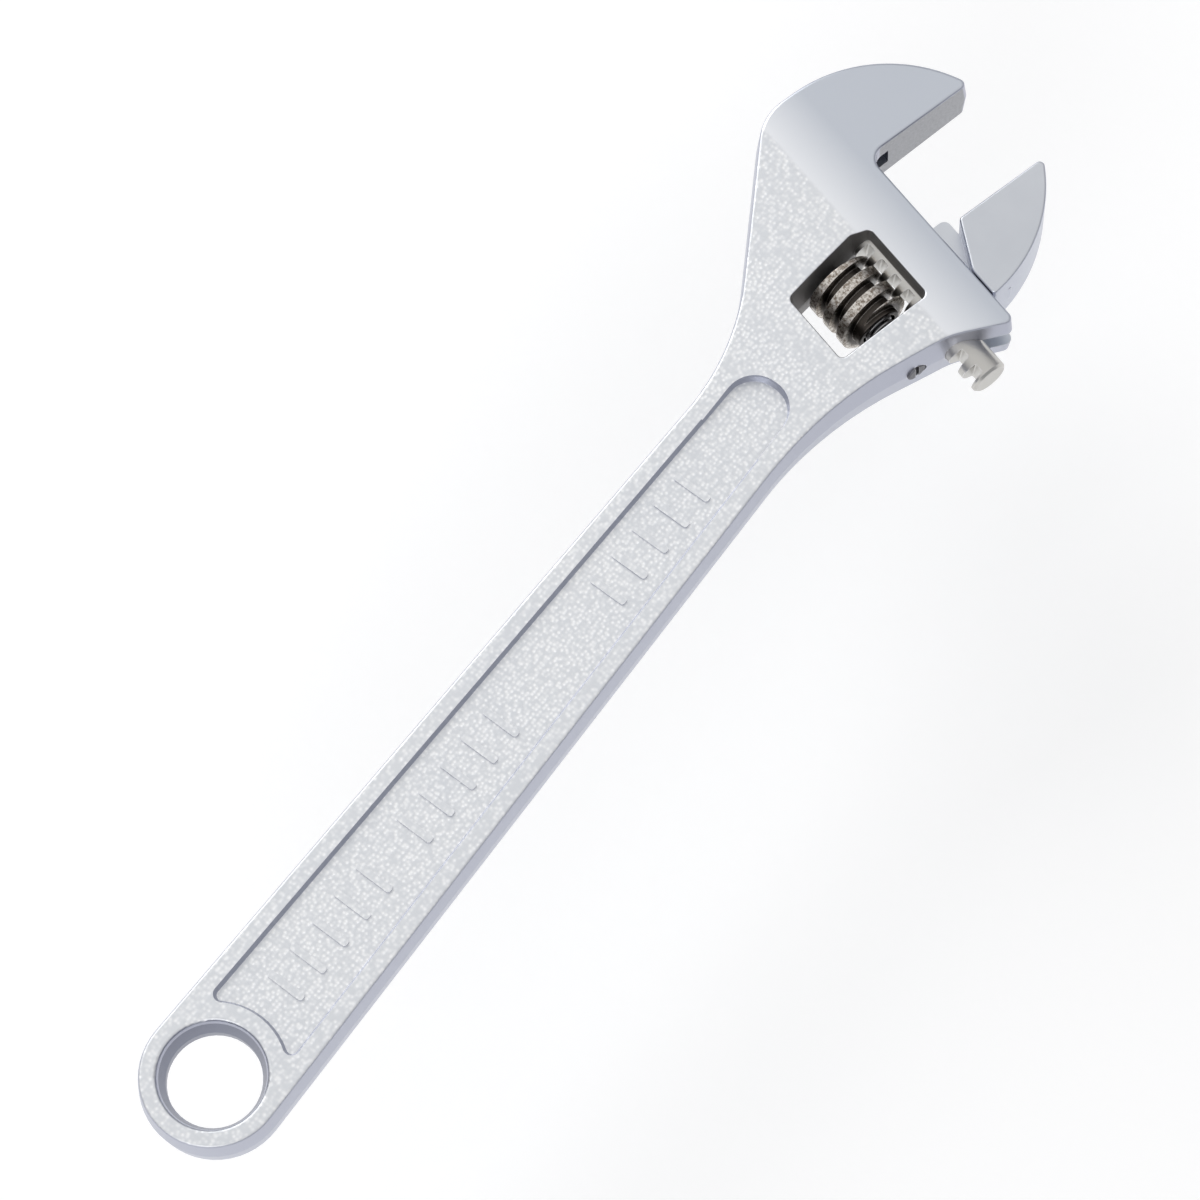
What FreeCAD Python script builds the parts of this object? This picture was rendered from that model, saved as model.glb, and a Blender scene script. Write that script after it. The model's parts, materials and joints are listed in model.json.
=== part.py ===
import FreeCAD, Part
import Sketcher
import os
import re
from FreeCAD import Placement, Rotation, Vector
from math import atan2, sin, tan

# Adjustable wrench of the 250 mm class, in millimetres.
#
# Main frame: origin at the centre of the hanging hole, on the mid-plane of the forging.
# +Y runs along the handle towards the head, +Z leaves the front face, +X is on the right.
#
# Head frame: "along" is the direction in which the movable jaw slides, "up" is the
# direction in which both jaws point. It is the main frame turned clockwise by jaw_lean
# about the point (head_x, head_y), which lies inside the worm window.

doc = FreeCAD.newDocument("adjustable_wrench")
sheet = doc.addObject("Spreadsheet::Sheet", "sizes")

SIZES = [
    # name, value, meaning
    ("end_radius", 13.9, "round outer end of the handle"),
    ("end_flat", 0.4, "short straight between the two quarter rounds of the end"),
    ("hole_radius", 8.9, "hanging hole at its narrowest, on the mid-plane"),
    ("hole_land", 2.0, "length of the straight wall of the hanging hole"),
    ("hole_flare", 1.4, "how much wider the hole is where it meets each face"),
    ("hole_edge_round", 0.7, "rounding of the hole's rim"),
    ("handle_half", 5.0, "half thickness of the handle"),
    ("neck_length", 22.4, "from the top of the handle's sides to the head frame's origin"),
    ("handle_top_half", 10.4, "half width of the handle there"),
    ("neck_left_radius", 48.0, "hollow curve from the handle to the fixed jaw's back"),
    ("neck_right_radius", 78.0, "hollow curve from the handle to the open side"),
    ("draft", 6.0, "forging draft of all the outer sides, degrees"),
    ("edge_round", 0.6, "rounding between the faces and the sides"),
    ("panel_depth", 1.2, "depth of the recessed panel"),
    ("panel_rim", 3.9, "width of the rim beside the panel"),
    ("panel_corner", 1.6, "rounding of the panel's two corners at the boss"),
    ("rib_round", 0.6, "rounding of a rib's ends"),
    ("boss_rim", 3.4, "width of the boss kept round the hanging hole"),
    ("boss_wrap", 35.0, "angle to each side over which the panel follows the boss, degrees"),
    ("panel_end_radius", 6.2, "round end of the panel towards the head"),
    ("panel_gap", 0.4, "from the panel's round end to the top of the handle's sides"),
    ("panel_draft", 25.0, "slope of the panel's walls, degrees"),
    ("rib_length", 8.0, "raised grip rib, across the panel"),
    ("rib_width", 1.5, "raised grip rib, along the handle"),
    ("rib_height", 0.35, "how far a rib stands out of the panel"),
    ("rib_pitch", 6.4, "distance between neighbouring ribs"),
    ("ribs_in_group", 5, "ribs in each of the three groups"),
    ("ribs_low", 20.5, "first rib of the lowest group"),
    ("ribs_step", 37.5, "from the lowest group to the middle group"),
    ("ribs_gap", 52.2, "from the highest group's first rib to the panel's round end"),
    ("ramp_length", 34.0, "length over which the handle swells into the head"),
    ("ramp_gap", 1.0, "from the end of that swelling to the head frame's origin"),
    ("ramp_radius", 50.0, "rounding at both ends of that swelling"),
    ("head_half", 7.6, "half thickness of the head at the crease"),
    ("jaw_tip_half", 5.9, "half thickness of the fixed jaw at its tip"),
    ("head_x", 2.0, "origin of the head frame"),
    ("head_y", 191.0, "origin of the head frame"),
    ("jaw_lean", 14.0, "angle between the jaws and the handle, degrees"),
    ("crease_up", 7.7, "crease between the flat cheek and the bevelled jaw"),
    ("back_wall", 6.4, "metal between the bore's blind end and the back of the head"),
    ("back_low", 9.2, "lower corner of the back"),
    ("back_drop", 9.0, "from the fixed jaw's tip down to the upper corner of the back"),
    ("back_low_radius", 12.0, "rounding of the lower corner"),
    ("back_high_radius", 30.4, "rounding of the upper corner"),
    ("face_stock", 1.1, "drafted metal machined off the fixed jaw's face and the sliding edge"),
    ("fixed_jaw_depth", 20.1, "from the fixed jaw's contact face to the back of the head"),
    ("jaw_height", 26.0, "height of the jaws above the sliding edge"),
    ("nose_radius", 1.2, "tip of the fixed jaw"),
    ("root_radius", 3.2, "inner corner at the root of the fixed jaw"),
    ("bridge", 5.6, "metal between the rod's bore and the sliding edge"),
    ("slide_end", 24.2, "outer end of the sliding edge"),
    ("slide_end_radius", 1.3, "rounding of the outer end"),
    ("flank_along", 18.34, "bend of the open side, along the slide"),
    ("flank_up", 8.7, "height of that bend"),
    ("flank_radius", 15.0, "rounding of that bend"),
    ("opening", 20.9, "distance between the jaw faces in the rest position"),
    ("window_left", 7.0, "worm window at the mid-plane, lower left corner"),
    ("window_bulge", 2.3, "how much further the left wall goes at its widest point"),
    ("window_bulge_top", 1.3, "how much further it goes at the upper left corner"),
    ("window_bulge_drop", 3.0, "from the upper wall down to that widest point"),
    ("window_gap_low", 3.1, "room under the worm, to the window's lower wall"),
    ("window_gap_high", 1.5, "room over the worm, to the window's upper wall"),
    ("window_draft", 7.5, "slope of the window's walls, degrees"),
    ("window_edge_round", 0.35, "rounding between the window's walls and the cheeks"),
    ("window_corner", 0.4, "rounding of the window's corners"),
    ("worm_up", 0.9, "height of the worm's axis"),
    ("worm_radius", 7.2, "worm over its thread"),
    ("thread_depth", 2.3, "depth of the worm's thread"),
    ("thread_bite", 1.1, "how far the thread reaches into the rack"),
    ("worm_end_gap", 0.4, "play between the worm and the window's left wall"),
    ("worm_left_in", 0.5, "how much the window's left wall leans away at the worm"),
    ("worm_round", 0.3, "rounding of the worm's edges"),
    ("worm_length", 12.6, "length of the worm"),
    ("worm_collar", 1.0, "plain collar at the worm's spring end"),
    ("thread_pitch", 4.0, "lead of the single right-hand thread"),
    ("thread_crest", 1.9, "width of the thread's crest"),
    ("thread_flank", 0.28, "how much a flank leans back from crest to root"),
    ("thread_phase", 0.5, "place of one thread crest in line with the rack"),
    ("flank_play", 0.22, "play between a thread flank and a rack tooth"),
    ("spring_seat", 1.6, "room for the spring between the worm and the window's right wall"),
    ("spring_pocket_play", 0.6, "room round the spring in the worm's counterbore"),
    ("spring_pocket_depth", 3.0, "depth of that counterbore"),
    ("spring_pin_play", 0.85, "room between the pin and the spring"),
    ("spring_wire", 0.35, "radius of the spring's wire"),
    ("spring_turns", 3.5, "number of coils"),
    ("spring_play", 0.15, "gap at each end of the spring"),
    ("pin_radius", 1.75, "worm pin"),
    ("pin_head_step", 0.35, "how much larger the pin's head is"),
    ("pin_head_wall", 1.3, "from the window's right wall to the pin's head"),
    ("pin_sunk", 1.14, "how far the pin's outer end lies inside the bend of the open side"),
    ("pin_grip", 7.0, "length of the pin in the window's left wall"),
    ("pin_round", 0.3, "rounding of the pin's head"),
    ("pin_slot_width", 0.8, "screwdriver slot"),
    ("pin_slot_depth", 0.9, "screwdriver slot"),
    ("fit_play", 0.03, "radial play of the pin in the forging"),
    ("running_play", 0.06, "radial play of the worm on its pin and of the rod in its bore"),
    ("rod_radius", 3.8, "rack rod"),
    ("rod_left", 13.4, "inner end of the rack rod"),
    ("rack_spare", 0.3, "rod that still passes the worm when the jaws are closed"),
    ("rod_chamfer", 0.5, "chamfer at both ends of the rod"),
    ("bore_end_play", 0.6, "room left in the blind bore when the jaws are closed"),
    ("rack_root_play", 1.5, "room between the worm's thread and the bottom of a rack gap"),
    ("rack_round", 0.3, "rounding at the bottom of the gaps"),
    ("rack_slant_in", 0.6, "depth under the worm's crest where the slant is exact"),
    ("rack_end", 0.8, "least length of rod left plain at each end of the rack"),
    ("web_half", 2.2, "half thickness of the web that joins the jaw to its rod"),
    ("web_shoulder", 3.0, "how far the web stands out in front of the jaw's face"),
    ("web_shoulder_up", 4.3, "height of that shoulder above the sliding edge"),
    ("web_right", 20.3, "from the jaw's face to the outer end of the web at the rod"),
    ("slot_play", 0.25, "play between the web and its slot, on each side"),
    ("shoulder_play", 0.5, "room for the web's shoulder in the fixed jaw"),
    ("slide_play", 0.12, "gap between the movable jaw and the sliding edge"),
    ("jaw_half", 7.2, "half thickness of the movable jaw at its base"),
    ("jaw_top_half", 6.0, "half thickness of the movable jaw at its tip"),
    ("jaw_base", 16.5, "length of the movable jaw at its base"),
    ("jaw_shoulder", 14.2, "from the jaw's face to the corner of its rounded back"),
    ("jaw_shoulder_drop", 9.0, "from the jaw's tip down to that corner"),
    ("jaw_back_radius", 32.0, "rounding of the movable jaw's back"),
    ("jaw_foot", 9.9, "from the jaw's face to where its underside meets the sliding edge"),
    ("jaw_foot_up", 5.0, "height of the relief under the jaw's face"),
    ("jaw_corner", 0.9, "rounding of the corners at the jaw's base"),
    ("jaw_tip_radius", 1.0, "tip of the movable jaw"),
    ("jaw_foot_radius", 3.0, "rounding between the relief and the sliding face"),
    ("web_corner", 1.5, "rounding of the web's corners"),
    ("jaw_edge_round", 0.5, "rounding of the movable jaw's outer edges"),
    ("reach", 60.0, "length of a cut that must pass right through"),
]
for row, (name, value, meaning) in enumerate(SIZES, start=1):
    sheet.set("A%d" % row, name)
    sheet.set("B%d" % row, str(value))
    sheet.set("C%d" % row, meaning)
    sheet.setAlias("B%d" % row, name)
doc.recompute()
SAME_PLACE = 1e-3
NAMES = {name: "sizes." + name for name, value, meaning in SIZES}


def size(name):
    """Number held by one cell of the sheet."""
    return float(sheet.get(name))


def cells(text):
    """Expression in which every size name is written as a cell of the sheet."""
    return re.sub("[a-z_]+", lambda word: NAMES.get(word.group(), word.group()), text)


def bind(thing, prop, text):
    thing.setExpression(prop, cells(text))


def value_of(text):
    """Number that an expression of sizes gives."""
    return float(sheet.evalExpression(cells(text)))


def in_main_frame(along, up):
    """Main-frame x and y expressions of a point given in the head frame."""
    x = "head_x + (%s) * cos(jaw_lean) + (%s) * sin(jaw_lean)" % (along, up)
    y = "head_y - (%s) * sin(jaw_lean) + (%s) * cos(jaw_lean)" % (along, up)
    return x, y


# ---------------------------------------------------------------- places that follow
# What fits to another piece is worked out here from the same sizes.

HANDLE_TOP = "(head_y - neck_length)"
RAMP_END = "(head_y - ramp_gap)"
RAMP_START = "(head_y - ramp_gap - ramp_length)"
HOLE_RIM = "(hole_radius + hole_flare)"
BOSS = "(hole_radius + hole_flare + boss_rim)"
PANEL_END = "(head_y - neck_length - panel_gap)"

# The rack rod lies on the worm, the sliding edge on the rod's bore.
WORM_ROOT = "(worm_radius - thread_depth)"
ROD_UP = "(worm_up + worm_radius + rod_radius - thread_bite)"
ROD_LOW = "(worm_up + worm_radius - thread_bite)"
SLIDE_UP = "(worm_up + worm_radius + 2 * rod_radius - thread_bite + bridge)"
JAW_TIP = "(%s + jaw_height)" % SLIDE_UP

# The bore takes the whole travel, the back closes it, the fixed jaw stands on the back.
BORE_LEFT = "(rod_left + opening + bore_end_play)"
BACK_ALONG = "(%s + back_wall)" % BORE_LEFT
FIXED_FACE = "(%s - fixed_jaw_depth)" % BACK_ALONG
FACE = "(opening - %s)" % FIXED_FACE

# The worm fills its window but for the spring, and the pin's head starts beyond it.
WORM_LEFT = "(worm_left_in - window_left - worm_end_gap)"
WORM_RIGHT = "(%s + worm_length)" % WORM_LEFT
WINDOW_RIGHT = "(%s + spring_seat)" % WORM_RIGHT
WINDOW_LOW = "(worm_radius - worm_up + window_gap_low)"
WINDOW_HIGH = "(worm_up + worm_radius + window_gap_high)"
PIN_LEFT = "(window_left + pin_grip)"
PIN_STEP = "(%s + pin_head_wall)" % WINDOW_RIGHT
PIN_END = "(flank_along - pin_sunk)"
PIN_HEAD = "(pin_radius + pin_head_step)"
SPRING_RADIUS = "(pin_radius + spring_pin_play + spring_wire)"
SPRING_POCKET = "(%s + spring_wire + spring_pocket_play)" % SPRING_RADIUS
ROD_RIGHT = "(opening + %s + rack_spare)" % WORM_RIGHT

# ---------------------------------------------------------------- sketch helpers

def new_body(label):
    body = doc.addObject("PartDesign::Body", label)
    body.Label = label
    return body


def origin_plane(body, role):
    return [item for item in body.Origin.OriginFeatures if item.Role == role][0]


def new_sketch(body, name, role, offset=None):
    """Sketch on one of the body's own origin planes.

    offset maps AttachmentOffset properties to expressions.
    """
    sketch = body.newObject("Sketcher::SketchObject", name)
    sketch.AttachmentSupport = (origin_plane(body, role), [""])
    sketch.MapMode = "FlatFace"
    if offset:
        turn = Vector(*offset.get("axis", (0, 0, 1)))
        sketch.AttachmentOffset = Placement(Vector(), Rotation(turn, 1))
        for key in ("Base.x", "Base.y", "Base.z", "Rotation.Angle"):
            bind(sketch, "AttachmentOffset." + key, offset.get(key, "0"))
    return sketch


def head_plane(up_from_mid="0"):
    """Offset that turns a sketch on the XY plane into the head frame."""
    return {
        "Base.x": "head_x",
        "Base.y": "head_y",
        "Base.z": up_from_mid,
        "Rotation.Angle": "0 - jaw_lean",
    }


def cross_plane(along="0"):
    """Offset that turns a sketch on the YZ plane square to the slide direction."""
    return {
        "axis": (0, 1, 0),
        "Base.x": "head_y - (%s) * sin(jaw_lean)" % along,
        "Base.z": "head_x + (%s) * cos(jaw_lean)" % along,
        "Rotation.Angle": "0 - jaw_lean",
    }


def pin_point(sketch, x_text, y_text):
    """Construction point held by two dimensions; returns its index."""
    index = sketch.addGeometry(Part.Point(Vector(1, 1, 0)), True)
    for kind, text in (("DistanceX", x_text), ("DistanceY", y_text)):
        number = sketch.addConstraint(Sketcher.Constraint(kind, -1, 1, index, 1, 1.0))
        bind(sketch, "Constraints[%d]" % number, text)
    return index


def rounded_outline(sketch, corners):
    """Closed outline through corner points, each corner rounded by its own radius.

    corners holds (x, y, radius or None), all as expressions. The corner points are dimensioned, the
    straight sides pass through them and the arcs are tangent to the sides.
    """
    points = [pin_point(sketch, x, y) for x, y, radius in corners]
    doc.recompute()
    spots = [Vector(sketch.Geometry[k].X, sketch.Geometry[k].Y, 0) for k in points]
    radii = [value_of(radius) if radius else 0.0 for x, y, radius in corners]
    count = len(spots)
    towards_last = [(spots[k - 1] - spots[k]).normalize() for k in range(count)]
    towards_next = [(spots[(k + 1) % count] - spots[k]).normalize() for k in range(count)]
    halves = [towards_last[k].getAngle(towards_next[k]) / 2 for k in range(count)]
    starts = [spots[k] + towards_last[k] * (radii[k] / tan(halves[k])) for k in range(count)]
    ends = [spots[k] + towards_next[k] * (radii[k] / tan(halves[k])) for k in range(count)]
    lines = []
    for k in range(count):
        line = Part.LineSegment(ends[k], starts[(k + 1) % count])
        lines.append(sketch.addGeometry(line, False))
    add = sketch.addConstraint
    for k in range(count):
        arriving, leaving = lines[k - 1], lines[k]
        if radii[k] == 0.0:
            add(Sketcher.Constraint("Coincident", arriving, 2, leaving, 1))
            add(Sketcher.Constraint("Coincident", arriving, 2, points[k], 1))
            continue
        middle = (towards_last[k] + towards_next[k]).normalize()
        centre = spots[k] + middle * (radii[k] / sin(halves[k]))
        first = atan2(starts[k].y - centre.y, starts[k].x - centre.x)
        last = atan2(ends[k].y - centre.y, ends[k].x - centre.x)
        circle = Part.Circle(centre, Vector(0, 0, 1), radii[k])
        turns_left = towards_last[k].cross(towards_next[k]).z < 0
        if turns_left:
            arc = sketch.addGeometry(Part.ArcOfCircle(circle, first, last), False)
            near, far = 1, 2
        else:
            arc = sketch.addGeometry(Part.ArcOfCircle(circle, last, first), False)
            near, far = 2, 1
        add(Sketcher.Constraint("Tangent", arriving, 2, arc, near))
        add(Sketcher.Constraint("Tangent", arc, far, leaving, 1))
        add(Sketcher.Constraint("PointOnObject", points[k], 1, arriving))
        add(Sketcher.Constraint("PointOnObject", points[k], 1, leaving))
        number = add(Sketcher.Constraint("Radius", arc, radii[k]))
        bind(sketch, "Constraints[%d]" % number, corners[k][2])
    doc.recompute()
    return sketch


def circle_at(sketch, x_text, y_text, radius_text):
    """Full circle with dimensioned centre and radius."""
    circle = Part.Circle(Vector(0.5, 0.5, 0), Vector(0, 0, 1), 1.0)
    index = sketch.addGeometry(circle, False)
    for kind, text in (("DistanceX", x_text), ("DistanceY", y_text)):
        number = sketch.addConstraint(Sketcher.Constraint(kind, -1, 1, index, 3, 0.5))
        bind(sketch, "Constraints[%d]" % number, text)
    number = sketch.addConstraint(Sketcher.Constraint("Radius", index, 1.0))
    bind(sketch, "Constraints[%d]" % number, radius_text)
    return sketch


# ---------------------------------------------------------------- feature helpers

def pad(body, sketch, length_text, midplane=False, draft_text=None, reverse=False):
    feature = body.newObject("PartDesign::Pad", sketch.Name + "_pad")
    feature.Profile = sketch
    feature.SideType = "Symmetric" if midplane else "One side"
    feature.Reversed = reverse
    bind(feature, "Length", length_text)
    if draft_text:
        bind(feature, "TaperAngle", draft_text)
    sketch.Visibility = False
    doc.recompute()
    return feature


def pocket(body, sketch, length_text, midplane=False, draft_text=None, reverse=False):
    """Cut that must take something away, so the volume is compared."""
    before = body.Shape.Volume
    feature = body.newObject("PartDesign::Pocket", sketch.Name + "_cut")
    feature.Profile = sketch
    feature.SideType = "Symmetric" if midplane else "One side"
    feature.Reversed = reverse
    bind(feature, "Length", length_text)
    if draft_text:
        bind(feature, "TaperAngle", draft_text)
    sketch.Visibility = False
    doc.recompute()
    if body.Shape.Volume >= before - 1e-6:
        raise ValueError(sketch.Name + " cuts nothing")
    return feature


def row_of(body, feature, axis, length_text, count_text):
    """Linear pattern of one feature along a sketch axis."""
    pattern = body.newObject("PartDesign::LinearPattern", feature.Name + "_row")
    pattern.Originals = [feature]
    pattern.Direction = axis
    bind(pattern, "Length", length_text)
    bind(pattern, "Occurrences", count_text)
    body.Tip = pattern
    doc.recompute()
    return pattern


def soften(body, feature_type, radius_text, wanted):
    """Fillet or chamfer on every edge of the tip for which wanted(edge) is true."""
    base = body.Tip
    edges = enumerate(base.Shape.Edges, start=1)
    names = ["Edge%d" % number for number, edge in edges if wanted(edge)]
    if not names:
        raise ValueError("no edge to soften on " + base.Name)
    feature = body.newObject("PartDesign::" + feature_type, "soft_" + base.Name)
    feature.Base = (base, names)
    bind(feature, "Radius" if feature_type == "Fillet" else "Size", radius_text)
    doc.recompute()
    return feature


def put_in_head(thing, up_text="0"):
    """Places a body whose x is along the slide and whose y is up the jaws."""
    x, y = in_main_frame("0", up_text)
    thing.Placement = Placement(Vector(), Rotation(Vector(0, 0, 1), -1))
    bind(thing, "Placement.Base.x", x)
    bind(thing, "Placement.Base.y", y)
    bind(thing, "Placement.Rotation.Angle", "0 - jaw_lean")


# ---------------------------------------------------------------- forged body
# One half of the forging, from the mid-plane to the front face, is modelled and mirrored.

OUTLINE = [
    ("0 - end_radius - end_flat", "0 - end_radius", "end_radius"),
    ("0 - handle_top_half", HANDLE_TOP, "neck_left_radius"),
    in_main_frame("0 - " + BACK_ALONG, "back_low") + ("back_low_radius",),
    in_main_frame("0 - " + BACK_ALONG, JAW_TIP + " - back_drop") + ("back_high_radius",),
    in_main_frame("face_stock - " + FIXED_FACE, JAW_TIP) + (None,),
    in_main_frame("face_stock - " + FIXED_FACE, SLIDE_UP + " + face_stock") + ("root_radius",),
    in_main_frame("slide_end", SLIDE_UP + " + face_stock") + (None,),
    in_main_frame("flank_along", "flank_up") + ("flank_radius",),
    ("handle_top_half", HANDLE_TOP, "neck_right_radius"),
    ("end_radius + end_flat", "0 - end_radius", "end_radius"),
]

half = new_body("forging_half")
outline = rounded_outline(new_sketch(half, "outline", "XY_Plane"), OUTLINE)
pad(half, outline, "head_half + 1", draft_text="0 - draft")

# The fixed jaw's contact face and the sliding edge are machined square to the cheeks.
throat = new_sketch(half, "throat", "XY_Plane", head_plane())
rounded_outline(throat, [
    ("0 - " + FIXED_FACE, SLIDE_UP, "root_radius"),
    ("0 - " + FIXED_FACE, SLIDE_UP + " + reach", None),
    ("slide_end + reach", SLIDE_UP + " + reach", None),
    ("slide_end + reach", SLIDE_UP, None),
])
pocket(half, throat, "reach", reverse=True)


CORNER_REACH = 3.0
STEEP = 0.3
LEVEL = 0.9


def upright_at(along, up):
    """Picks the upright edge that stands near a point of the head frame."""
    x, y = in_main_frame(along, up)
    corner = Vector(value_of(x), value_of(y), 0)

    def wanted(edge):
        ends = [edge.valueAt(edge.FirstParameter), edge.valueAt(edge.LastParameter)]
        near = all(Vector(end.x, end.y, 0).distanceToPoint(corner) < CORNER_REACH for end in ends)
        return near and abs(ends[0].z - ends[1].z) > size("handle_half")

    return wanted


soften(half, "Fillet", "nose_radius", upright_at("0 - " + FIXED_FACE, JAW_TIP))
soften(half, "Fillet", "slide_end_radius", upright_at("slide_end", SLIDE_UP))

# The handle is thinner than the head and swells into it.
side = new_sketch(half, "side", "YZ_Plane")
rounded_outline(side, [
    ("0 - reach", "handle_half", None),
    (RAMP_START, "handle_half", "ramp_radius"),
    (RAMP_END, "head_half", "ramp_radius"),
    (RAMP_END + " + 2 * reach", "head_half", None),
    (RAMP_END + " + 2 * reach", "head_half + reach", None),
    ("0 - reach", "head_half + reach", None),
])
pocket(half, side, "3 * reach", midplane=True)

# Beyond the crease both cheeks fall away towards the jaw's tip.
bevel = new_sketch(half, "bevel", "YZ_Plane", cross_plane())
rounded_outline(bevel, [
    ("crease_up", "head_half", None),
    (JAW_TIP, "jaw_tip_half", None),
    (JAW_TIP + " + reach", "jaw_tip_half", None),
    (JAW_TIP + " + reach", "reach", None),
    ("crease_up", "reach", None),
])
pocket(half, bevel, "3 * reach", midplane=True)


def around_cheek(edge):
    """Edges in which a steep side meets a nearly level cheek."""
    middle = edge.valueAt((edge.FirstParameter + edge.LastParameter) / 2)
    faces = half.Tip.Shape.ancestorsOfType(edge, Part.Face)
    rise = sorted(face.normalAt(*face.Surface.parameter(middle)).z for face in faces)
    return len(rise) == 2 and abs(rise[0]) < STEEP and rise[1] > LEVEL


soften(half, "Fillet", "edge_round", around_cheek)

# Recessed panel along the handle. Its lower end follows the boss round the hole, its
# walls run beside the handle's sides, and the swelling above its round end is cut away.
PANEL_LOW = "(end_radius + end_flat - panel_rim)"
PANEL_HIGH = "(handle_top_half - panel_rim)"
PANEL_SPREAD = "(%s - %s) / (%s + end_radius)" % (PANEL_LOW, PANEL_HIGH, HANDLE_TOP)


def panel_side(y_text):
    """Half width of the panel at a height on the handle."""
    return "(%s + (%s - %s) * %s)" % (PANEL_HIGH, HANDLE_TOP, y_text, PANEL_SPREAD)


BOSS_TIP = "(%s / cos(boss_wrap))" % BOSS
BOSS_FOOT = "(%s - %s * tan(boss_wrap))" % (BOSS_TIP, panel_side("0"))
panel = new_sketch(half, "panel", "XY_Plane", {"Base.z": "handle_half"})
rounded_outline(panel, [
    ("0 - " + panel_side(BOSS_FOOT), BOSS_FOOT, "panel_corner"),
    ("0 - " + panel_side(PANEL_END), PANEL_END, "panel_end_radius"),
    (panel_side(PANEL_END), PANEL_END, "panel_end_radius"),
    (panel_side(BOSS_FOOT), BOSS_FOOT, "panel_corner"),
    ("0", BOSS_TIP, BOSS),
])
pocket(half, panel, "panel_depth", draft_text="0 - panel_draft")
panel_mouth = new_sketch(half, "panel_mouth", "XY_Plane", {"Base.z": "handle_half"})
rounded_outline(panel_mouth, [
    ("0 - " + panel_side(RAMP_START), RAMP_START + " - ramp_radius", None),
    ("0 - " + panel_side(PANEL_END), PANEL_END, "panel_end_radius"),
    (panel_side(PANEL_END), PANEL_END, "panel_end_radius"),
    (panel_side(RAMP_START), RAMP_START + " - ramp_radius", None),
])
pocket(half, panel_mouth, "head_half", reverse=True)

# Three groups of plain raised ribs across the panel.
GROUPS = {
    "low_rib": "ribs_low",
    "middle_rib": "(ribs_low + ribs_step)",
    "high_rib": "(%s - ribs_gap)" % PANEL_END,
}
for name, group in GROUPS.items():
    rib = new_sketch(half, name, "XY_Plane", {"Base.z": "handle_half - panel_depth"})
    rounded_outline(rib, [
        ("0 - rib_length / 2", group, "rib_round"),
        ("0 - rib_length / 2", group + " + rib_width", "rib_round"),
        ("rib_length / 2", group + " + rib_width", "rib_round"),
        ("rib_length / 2", group, "rib_round"),
    ])
    first_rib = pad(half, rib, "rib_height")
    row_of(half, first_rib, (rib, ["V_Axis"]), "rib_pitch * (ribs_in_group - 1)", "ribs_in_group")

# Hanging hole: a short straight wall on the mid-plane, flaring towards each face.
hole = new_sketch(half, "hole", "XY_Plane")
circle_at(hole, "0", "0", "hole_radius")
pocket(half, hole, "reach", reverse=True)
flare = new_sketch(half, "flare", "XZ_Plane")
rounded_outline(flare, [
    ("0", "hole_land / 2", None),
    ("hole_radius", "hole_land / 2", None),
    (HOLE_RIM, "handle_half", None),
    (HOLE_RIM, "2 * handle_half", None),
    ("0", "2 * handle_half", None),
])
groove = half.newObject("PartDesign::Groove", "flare_cut")
groove.Profile = flare
groove.ReferenceAxis = (flare, ["V_Axis"])
groove.Angle = 360
flare.Visibility = False
doc.recompute()


def around_hole(edge):
    """The circle in which the hole's flare meets the face."""
    spot = edge.valueAt(edge.FirstParameter)
    on_face = abs(spot.z - size("handle_half")) < SAME_PLACE
    return on_face and abs(spot.x ** 2 + spot.y ** 2 - value_of(HOLE_RIM) ** 2) < SAME_PLACE


soften(half, "Fillet", "hole_edge_round", around_hole)

# Window for the worm, with drafted walls.
window = new_sketch(half, "window", "XY_Plane", head_plane())
rounded_outline(window, [
    ("0 - window_left", "0 - " + WINDOW_LOW, "window_corner"),
    ("0 - window_left - window_bulge", WINDOW_HIGH + " - window_bulge_drop", "window_corner"),
    ("0 - window_left - window_bulge_top", WINDOW_HIGH, "window_corner"),
    (WINDOW_RIGHT, WINDOW_HIGH, "window_corner"),
    (WINDOW_RIGHT, "0 - " + WINDOW_LOW, "window_corner"),
])
pocket(half, window, "head_half + 1", draft_text="window_draft", reverse=True)


def around_window(edge):
    """The edges in which the window's walls meet the cheek."""
    middle = edge.valueAt((edge.FirstParameter + edge.LastParameter) / 2)
    from_centre = Vector(middle.x - size("head_x"), middle.y - size("head_y"), 0)
    return from_centre.Length < value_of(WINDOW_LOW + " + window_left") and around_cheek(edge)


soften(half, "Fillet", "window_edge_round", around_window)

# Bore for the rack rod, blind at its left end and open at the side of the head.
bore = new_sketch(half, "bore", "YZ_Plane", cross_plane("0 - " + BORE_LEFT))
circle_at(bore, ROD_UP, "0", "rod_radius + running_play")
pocket(half, bore, BORE_LEFT + " + reach", reverse=True)

# Slot in which the movable jaw's web slides, cut a little into the fixed jaw's root.
SLOT_LEFT = "0 - %s - web_shoulder - shoulder_play" % FIXED_FACE
SLOT_TOP = SLIDE_UP + " + web_shoulder_up + shoulder_play"
slot = new_sketch(half, "slot", "YZ_Plane", cross_plane(SLOT_LEFT))
rounded_outline(slot, [
    (ROD_UP, "0 - web_half - slot_play", None),
    (SLOT_TOP, "0 - web_half - slot_play", None),
    (SLOT_TOP, "web_half + slot_play", None),
    (ROD_UP, "web_half + slot_play", None),
])
pocket(half, slot, "2 * reach", reverse=True)

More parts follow.
